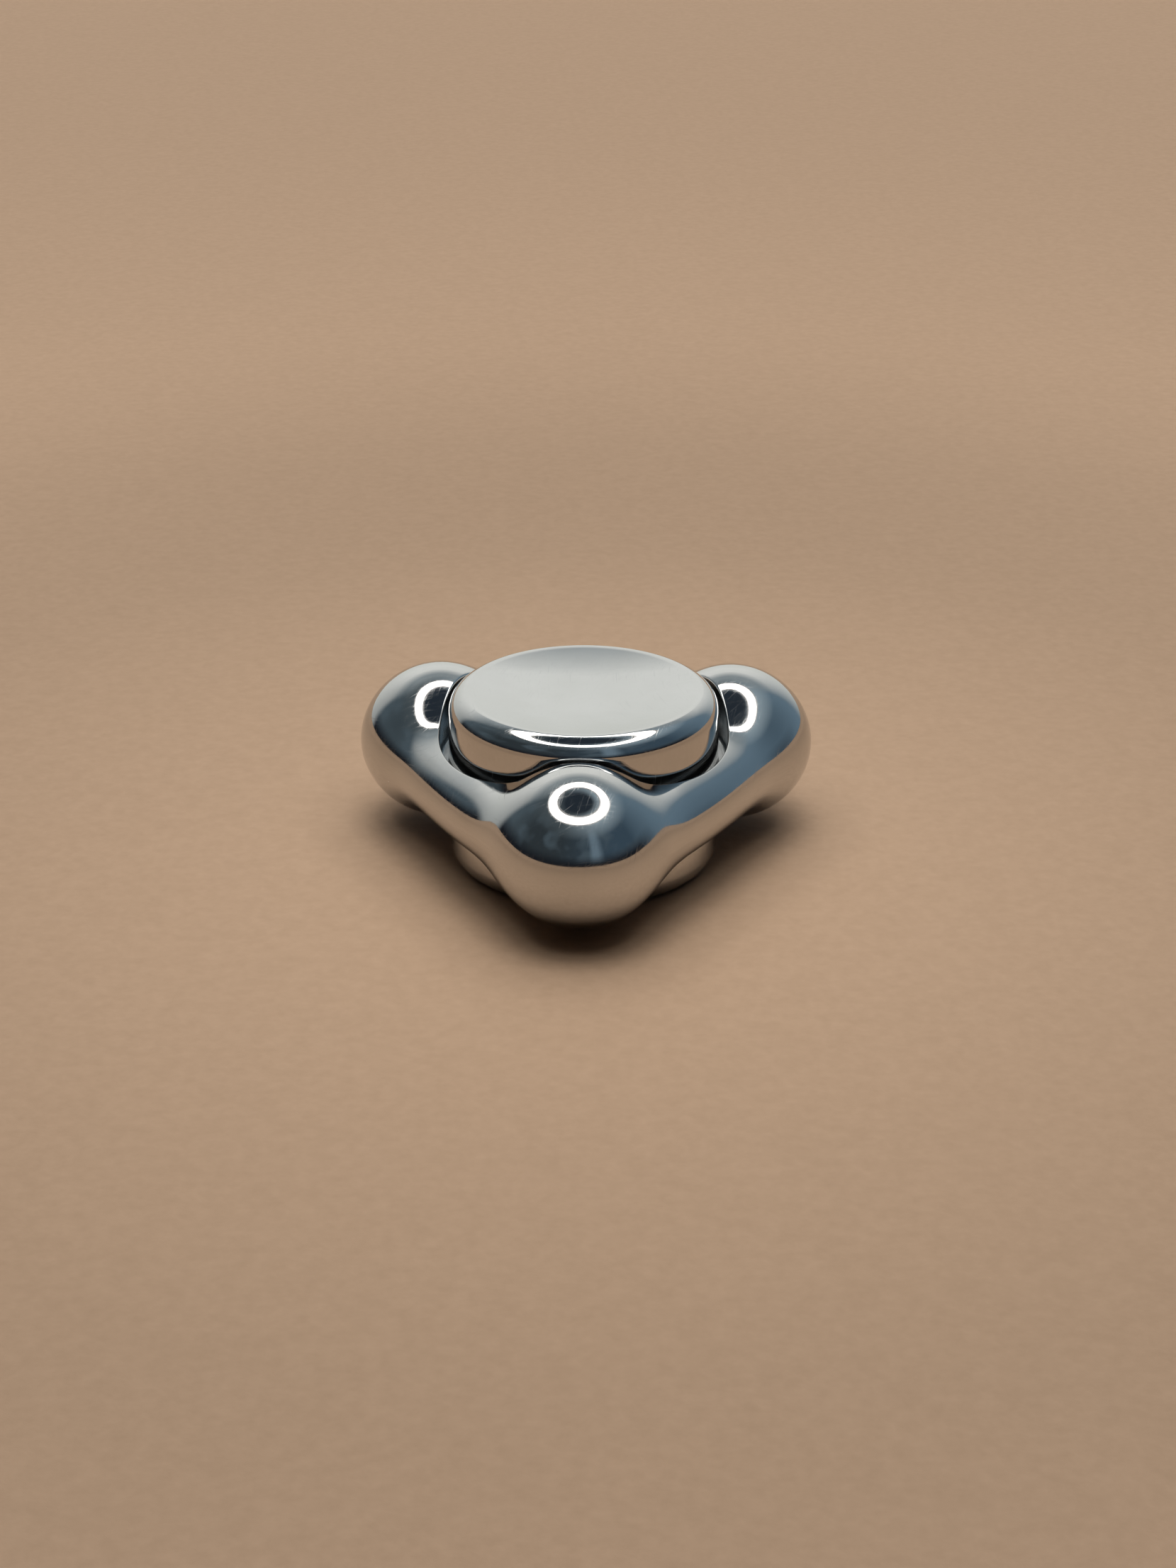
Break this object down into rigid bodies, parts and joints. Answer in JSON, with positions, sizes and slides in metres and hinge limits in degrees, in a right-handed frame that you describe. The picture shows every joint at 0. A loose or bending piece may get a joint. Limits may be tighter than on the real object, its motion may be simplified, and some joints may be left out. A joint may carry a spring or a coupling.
{
  "type": "fidget spinner",
  "caption": "Palm-size polished steel spinner: a body with rounded weights turns on a ball bearing between two dished finger buttons.",
  "frame": {"origin": "on the spin axis, midway between the rims of the two buttons", "axes": "+Z along the spin axis, out of the button that carries the stud; -Y through the middle of one weight; +X to the right"},
  "size_m": [0.0416, 0.0381, 0.0164],
  "materials": {
    "polished_steel": "bare stainless steel, mirror polished, with fine handling scratches",
    "bearing_steel": "ground and lapped bearing steel",
    "ball_steel": "lapped bearing balls",
    "cage_steel": "stamped stainless steel, satin",
    "shield_steel": "rolled stainless sheet, satin",
    "spring_steel": "dark spring steel, turned"
  },
  "bodies": {
    "hub": {"top_button": "polished_steel", "bottom_button": "polished_steel", "bearing_inner_ring": "bearing_steel", "bearing_spacer_top": "shield_steel", "bearing_spacer_bottom": "shield_steel"},
    "rotor": {"tri_lobe_body": "polished_steel", "bearing_outer_ring": "bearing_steel", "bearing_lock_ring": "spring_steel", "bearing_shield_top": "shield_steel", "bearing_shield_bottom": "shield_steel", "shield_snap_ring_top": "spring_steel", "shield_snap_ring_bottom": "spring_steel"},
    "cage": {"bearing_cage": "cage_steel"},
    "ball_01": {"bearing_ball_01": "ball_steel"},
    "ball_02": {"bearing_ball_02": "ball_steel"},
    "ball_03": {"bearing_ball_03": "ball_steel"},
    "ball_04": {"bearing_ball_04": "ball_steel"},
    "ball_05": {"bearing_ball_05": "ball_steel"},
    "ball_06": {"bearing_ball_06": "ball_steel"},
    "ball_07": {"bearing_ball_07": "ball_steel"},
    "ball_08": {"bearing_ball_08": "ball_steel"},
    "ball_09": {"bearing_ball_09": "ball_steel"},
    "ball_10": {"bearing_ball_10": "ball_steel"}
  },
  "joints": [
    {"name": "body_spin", "type": "hinge", "parent": "hub", "child": "rotor", "pos_m": [0, 0, 0], "axis": [0, 0, 1], "continuous": true},
    {"name": "cage_orbit", "type": "hinge", "parent": "hub", "child": "cage", "pos_m": [0, 0, 0], "axis": [0, 0, 1], "continuous": true},
    {"name": "ball_01_spin", "type": "hinge", "parent": "cage", "child": "ball_01", "pos_m": [0.00453, 0.00147, 0], "axis": [0, 0, 1], "continuous": true},
    {"name": "ball_02_spin", "type": "hinge", "parent": "cage", "child": "ball_02", "pos_m": [0.0028, 0.00385, 0], "axis": [0, 0, 1], "continuous": true},
    {"name": "ball_03_spin", "type": "hinge", "parent": "cage", "child": "ball_03", "pos_m": [0, 0.00476, 0], "axis": [0, 0, 1], "continuous": true},
    {"name": "ball_04_spin", "type": "hinge", "parent": "cage", "child": "ball_04", "pos_m": [-0.0028, 0.00385, 0], "axis": [0, 0, 1], "continuous": true},
    {"name": "ball_05_spin", "type": "hinge", "parent": "cage", "child": "ball_05", "pos_m": [-0.00453, 0.00147, 0], "axis": [0, 0, 1], "continuous": true},
    {"name": "ball_06_spin", "type": "hinge", "parent": "cage", "child": "ball_06", "pos_m": [-0.00453, -0.00147, 0], "axis": [0, 0, 1], "continuous": true},
    {"name": "ball_07_spin", "type": "hinge", "parent": "cage", "child": "ball_07", "pos_m": [-0.0028, -0.00385, 0], "axis": [0, 0, 1], "continuous": true},
    {"name": "ball_08_spin", "type": "hinge", "parent": "cage", "child": "ball_08", "pos_m": [0, -0.00476, 0], "axis": [0, 0, 1], "continuous": true},
    {"name": "ball_09_spin", "type": "hinge", "parent": "cage", "child": "ball_09", "pos_m": [0.0028, -0.00385, 0], "axis": [0, 0, 1], "continuous": true},
    {"name": "ball_10_spin", "type": "hinge", "parent": "cage", "child": "ball_10", "pos_m": [0.00453, -0.00147, 0], "axis": [0, 0, 1], "continuous": true}
  ],
  "couplings": [
    {"joint": "cage_orbit", "follows": "body_spin", "ratio": 0.58333},
    {"joint": "ball_01_spin", "follows": "body_spin", "ratio": 2.9167},
    {"joint": "ball_02_spin", "follows": "body_spin", "ratio": 2.9167},
    {"joint": "ball_03_spin", "follows": "body_spin", "ratio": 2.9167},
    {"joint": "ball_04_spin", "follows": "body_spin", "ratio": 2.9167},
    {"joint": "ball_05_spin", "follows": "body_spin", "ratio": 2.9167},
    {"joint": "ball_06_spin", "follows": "body_spin", "ratio": 2.9167},
    {"joint": "ball_07_spin", "follows": "body_spin", "ratio": 2.9167},
    {"joint": "ball_08_spin", "follows": "body_spin", "ratio": 2.9167},
    {"joint": "ball_09_spin", "follows": "body_spin", "ratio": 2.9167},
    {"joint": "ball_10_spin", "follows": "body_spin", "ratio": 2.9167}
  ]
}
